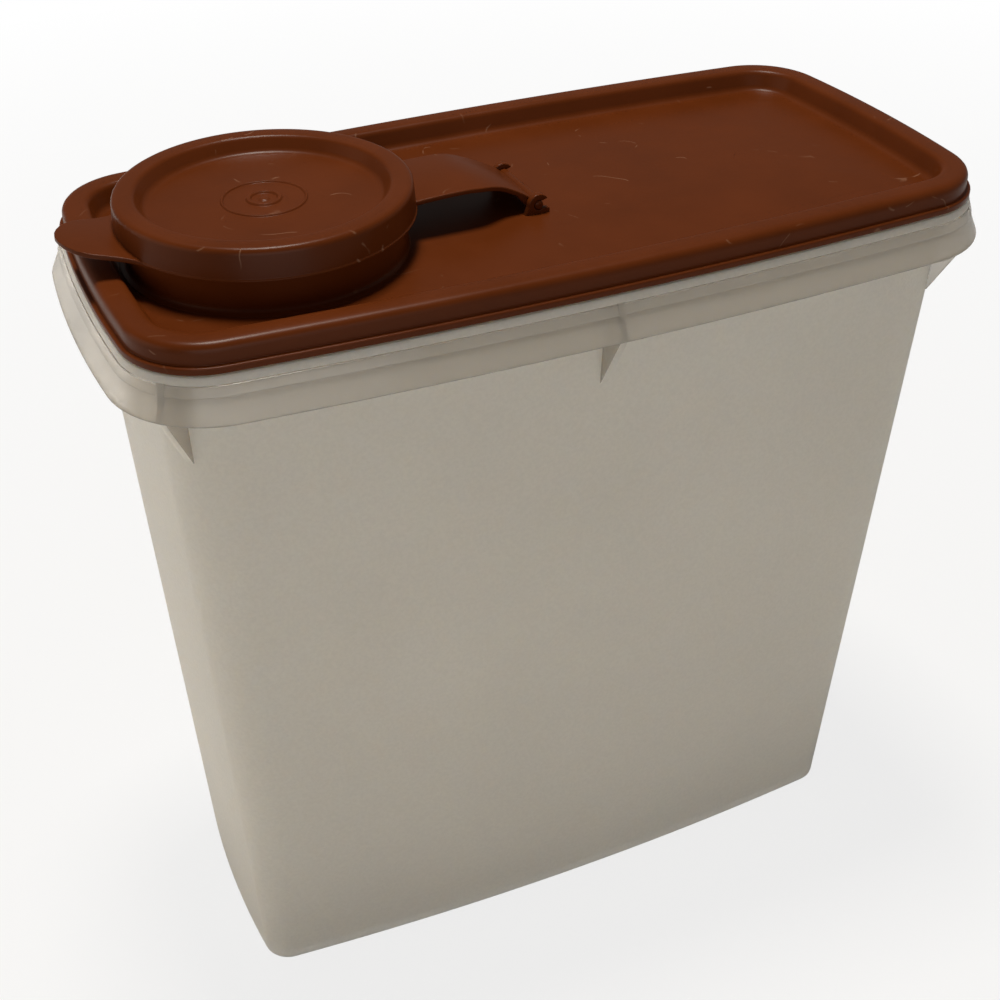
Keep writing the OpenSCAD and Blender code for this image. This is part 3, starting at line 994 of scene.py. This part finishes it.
class KEEPER_OT_stage(Operator):
    """Set up the floor, the lamps, the surroundings and the camera"""

    bl_idname = "keeper.make_stage"
    bl_label = "Studio"

    def execute(self, context):
        scene = context.scene
        scene.view_settings.view_transform = "Standard"
        self.add_floor(scene)
        self.add_world(scene)
        # Places and sizes in metres. The back one would show as haze on the brown plastic.
        self.add_lamp("overhead_softbox", (-0.02, 0.12, 1.2), (0.25, 0.25), 10.6, "#FFF8EE")
        self.add_lamp("left_softbox", (-1.15, 0.1, 0.42), (1.2, 0.7), 2.2, "#FFF2E0")
        self.add_lamp("back_softbox", (-0.75, 1.15, 0.17), (1.8, 0.32), 10.0, "#FFFAF2", False)
        self.add_lamp("front_softbox", (-0.35, -1.25, 0.32), (1.2, 0.55), 3.5, "#FFFCF8")
        self.add_lamp("right_softbox", (1.2, -0.3, 0.4), (0.9, 0.6), 1.3, "#FFF8EE", False)
        self.add_camera(scene)
        return {"FINISHED"}

    def add_floor(self, scene):
        """A wide floor that the camera sees nearly white, with the object's shadow.

        Mirrored rays see it dimmer than the camera does, and as light it is plain paint.
        """
        start_clean()
        bpy.ops.mesh.primitive_plane_add(size=12.0)
        floor = bpy.context.object
        floor.name = "studio_floor"
        material, output = blank_material("studio_floor_matt")
        path = add_node(material, "ShaderNodeLightPath")
        mirrored = add_node(material, "ShaderNodeMath", {
            0: path.outputs["Is Glossy Ray"], 1: 0.2,
        }, operation="MULTIPLY").outputs["Value"]
        seen = add_node(material, "ShaderNodeMath", {
            0: path.outputs["Is Camera Ray"], 1: mirrored,
        }, operation="MAXIMUM").outputs["Value"]
        seen = add_node(material, "ShaderNodeMath", {
            0: seen, 1: path.outputs["Is Transmission Ray"],
        }, operation="MAXIMUM").outputs["Value"]
        paint = add_node(material, "ShaderNodeBsdfDiffuse", {
            "Color": (*scene.keeper_finish.floor, 1.0),
        })
        glow = add_node(material, "ShaderNodeEmission", {
            "Color": (1, 1, 1, 1), "Strength": 1.0,
        })
        # Whiter with the distance, so that no edge of the floor shows
        where = add_node(material, "ShaderNodeTexCoord").outputs["Object"]
        far = add_node(
            material, "ShaderNodeVectorMath", {0: where}, operation="LENGTH",
        ).outputs["Value"]
        white = add_node(material, "ShaderNodeMapRange", {
            "Value": far, "From Min": 0.2, "From Max": 1.0, "To Min": 0.8, "To Max": 1.0,
        }).outputs["Result"]
        share = add_node(
            material, "ShaderNodeMath", {0: seen, 1: white}, operation="MULTIPLY",
        ).outputs["Value"]
        blend = add_node(material, "ShaderNodeMixShader", {
            "Fac": share, 1: paint.outputs["BSDF"], 2: glow.outputs["Emission"],
        })
        material.node_tree.links.new(blend.outputs["Shader"], output.inputs["Surface"])
        floor.data.materials.append(material)

    def add_world(self, scene):
        """A surround that the camera sees white, and that is much dimmer as light."""
        world = bpy.data.worlds.new("studio_surround")
        world.use_nodes = True
        scene.world = world
        tree = world.node_tree
        tree.nodes.clear()
        output = tree.nodes.new("ShaderNodeOutputWorld")
        path = add_node(world, "ShaderNodeLightPath")
        mirrored = add_node(world, "ShaderNodeMath", {
            0: path.outputs["Is Glossy Ray"], 1: 0.02,
        }, operation="MULTIPLY").outputs["Value"]
        seen = add_node(world, "ShaderNodeMath", {
            0: path.outputs["Is Camera Ray"], 1: mirrored,
        }, operation="MAXIMUM").outputs["Value"]
        seen = add_node(world, "ShaderNodeMath", {
            0: seen, 1: path.outputs["Is Transmission Ray"],
        }, operation="MAXIMUM").outputs["Value"]
        dim = add_node(world, "ShaderNodeBackground", {
            "Color": (1.0, 0.95, 0.88, 1.0), "Strength": 0.12,
        })
        bright = add_node(world, "ShaderNodeBackground", {
            "Color": (1.0, 1.0, 1.0, 1.0), "Strength": 1.0,
        })
        both = add_node(world, "ShaderNodeMixShader", {
            "Fac": seen, 1: dim.outputs["Background"], 2: bright.outputs["Background"],
        })
        tree.links.new(both.outputs["Shader"], output.inputs["Surface"])

    def add_lamp(self, name, place, size, watts, tint, mirrored=True):
        """A softbox aimed at the middle of the container, which surfaces mirror or not."""
        data = bpy.data.lights.new(name, "AREA")
        data.shape = "RECTANGLE"
        data.size, data.size_y = size
        data.energy = watts
        data.color = linear(tint)
        lamp = bpy.data.objects.new(name, data)
        bpy.context.scene.collection.objects.link(lamp)
        lamp.visible_glossy = mirrored
        lamp.location = place
        aim = Vector((0.0, 0.0, 0.14)) - lamp.location
        lamp.rotation_euler = aim.to_track_quat("-Z", "Y").to_euler()

    def add_camera(self, scene):
        """The photograph's viewpoint: bearing, height, roll and lens."""
        bearing, height, roll = (math.radians(a) for a in (-22.195, 34.795, -1.391))
        back = Vector((
            math.sin(bearing) * math.cos(height), -math.cos(bearing) * math.cos(height),
            math.sin(height),
        ))
        right = (-back).cross(Vector((0, 0, 1))).normalized()
        up = right.cross(-back)
        right, up = (
            right * math.cos(roll) + up * math.sin(roll),
            up * math.cos(roll) - right * math.sin(roll),
        )
        data = bpy.data.cameras.new("photo_camera")
        data.sensor_width = 36.0
        # The photograph's focal length is 1498.383 of its 1000 pixels
        data.lens = 1498.383 / 1000 * data.sensor_width
        data.shift_x = 0.0463
        data.shift_y = -0.0103
        camera = bpy.data.objects.new("photo_camera", data)
        scene.collection.objects.link(camera)
        axes = Matrix((right, up, back)).transposed().to_4x4()
        place = Vector((-162.128, -344.956, 396.299)) * MM
        camera.matrix_world = Matrix.Translation(place) @ axes
        scene.camera = camera


class KEEPER_PT_panel(Panel):
    """Lists the pieces in the 3D view's sidebar"""

    bl_label = "Cereal container"
    bl_idname = "KEEPER_PT_panel"
    bl_space_type = "VIEW_3D"
    bl_region_type = "UI"
    bl_category = "Keeper"

    def draw(self, context):
        for group in ("keeper_tub", "keeper_lid", "keeper_spout", "keeper_cap", "keeper_finish"):
            box = self.layout.box()
            data = getattr(context.scene, group)
            for prop in data.bl_rna.properties:
                if prop.type == "FLOAT":
                    box.prop(data, prop.identifier)
        for maker in MAKERS:
            self.layout.operator(maker.bl_idname)


GROUPS = {
    "keeper_tub": KeeperTub,
    "keeper_lid": KeeperLid,
    "keeper_spout": KeeperSpout,
    "keeper_cap": KeeperCap,
    "keeper_finish": KeeperFinish,
}
MAKERS = (
    KEEPER_OT_tub, KEEPER_OT_lid, KEEPER_OT_spout, KEEPER_OT_hooks,
    KEEPER_OT_cap, KEEPER_OT_tab, KEEPER_OT_strap, KEEPER_OT_stage,
)


def register():
    for cls in (*GROUPS.values(), *MAKERS, KEEPER_PT_panel):
        bpy.utils.register_class(cls)
    for name, cls in GROUPS.items():
        setattr(bpy.types.Scene, name, PointerProperty(type=cls))


def unregister():
    for name in GROUPS:
        delattr(bpy.types.Scene, name)
    for cls in reversed((*GROUPS.values(), *MAKERS, KEEPER_PT_panel)):
        bpy.utils.unregister_class(cls)


def main():
    register()
    bpy.ops.keeper.make_tub()
    bpy.ops.keeper.make_lid()
    bpy.ops.keeper.make_spout()
    bpy.ops.keeper.make_hooks()
    bpy.ops.keeper.make_cap()
    bpy.ops.keeper.make_tab()
    bpy.ops.keeper.make_strap()
    bpy.ops.keeper.make_stage()


if __name__ == "__main__":
    main()
